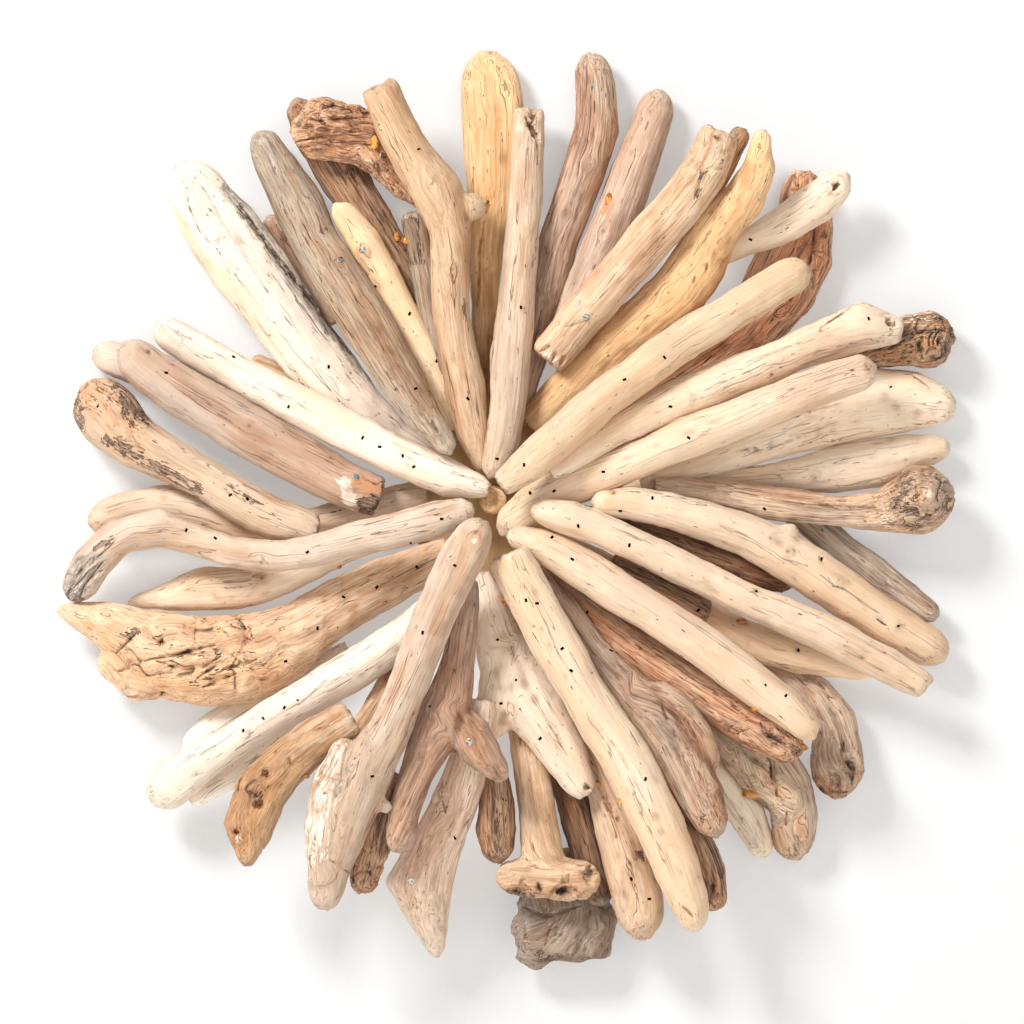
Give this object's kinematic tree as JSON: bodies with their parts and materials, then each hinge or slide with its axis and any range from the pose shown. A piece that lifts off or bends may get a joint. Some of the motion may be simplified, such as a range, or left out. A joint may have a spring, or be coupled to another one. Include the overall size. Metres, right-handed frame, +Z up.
{
  "type": "driftwood wall decor",
  "caption": "Round starburst of weathered driftwood sticks, layered and nailed round a small disc, with a toothed hanger on its back for a wall.",
  "frame": {"origin": "centre of the base disc's flat back, in the plane of the wall", "axes": "+Z up on the wall, +Y into the wall, +X to the right as seen from the front"},
  "size_m": [0.5402, 0.1026, 0.5516],
  "materials": {
    "cream": "dry sun-bleached driftwood with fine grey cracks",
    "tan": "dry tan driftwood",
    "honey": "smooth honey-coloured driftwood with a faint sheen",
    "grey": "weathered grey driftwood",
    "mauve": "weathered mauve-brown driftwood",
    "brown": "dark brown driftwood with remains of bark",
    "plywood": "unfinished plywood",
    "steel": "zinc-plated steel strip"
  },
  "bodies": {
    "root": {"base_disc": "plywood", "sawtooth_hanger": "steel", "centre_peg": "tan", "stick_01_honey_plank": "honey", "stick_02_hollow_tip": "grey", "stick_03_curved_mauve": "mauve", "stick_04_brown_grey": "mauve", "stick_05_broken_inner_end": "tan", "stick_06_honey_knobbly": "honey", "stick_07_red_brown_arc": "brown", "stick_08_cream_hollow_knob": "cream", "stick_09_pale_smooth": "cream", "stick_10_flared_end": "cream", "stick_11_dark_burl_end": "brown", "stick_12_cream_lower": "cream", "stick_13_wide_cream": "cream", "stick_14_thin_cream": "cream", "stick_15_round_burl": "tan", "stick_16_grey_short": "grey", "stick_17_long_cream": "cream", "stick_18_long_cut_end": "cream", "stick_19_dark_under_white": "brown", "stick_20_spindle": "tan", "stick_21_red_brown_knotted": "brown", "stick_22_split_end": "mauve", "stick_23_smooth_tan": "cream", "stick_24_two_lobed": "mauve", "stick_25_grey_back": "grey", "stick_26_pale_branched": "grey", "stick_27_dark_behind_white": "brown", "stick_28_white_fibrous": "cream", "stick_29_spotted_tan": "tan", "stick_30_grey_brown_inner": "mauve", "stick_31_forked_plank": "cream", "stick_32_t_shaped": "honey", "stick_33_grey_slab": "brown", "stick_34_dark_between": "brown", "stick_35_pinkish_brown": "mauve", "stick_36_y_fork": "mauve", "stick_37_brown_gnarled": "brown", "stick_38_diagonal_rotten_side": "mauve", "stick_39_hollowed_yellow": "tan", "stick_40_white_straight": "cream", "stick_41_thin_mauve": "mauve", "stick_42_cream_under": "cream", "stick_43_great_burl": "honey", "stick_44_hook": "grey", "stick_45_cream_spindle": "cream", "stick_46_cream_behind_hook": "cream", "stick_47_dark_knob": "tan", "stick_48_cream_short": "cream", "stick_49_mauve_broken_end": "mauve", "stick_50_white_top": "cream", "stick_51_big_cream": "cream", "stick_52_tan_stub": "tan", "stick_53_grey_round": "grey", "stick_54_gnarled_knot": "brown", "stick_55_brown_straight": "brown", "stick_56_thin_honey": "honey", "stick_57_elbow": "tan"}
  },
  "joints": []
}
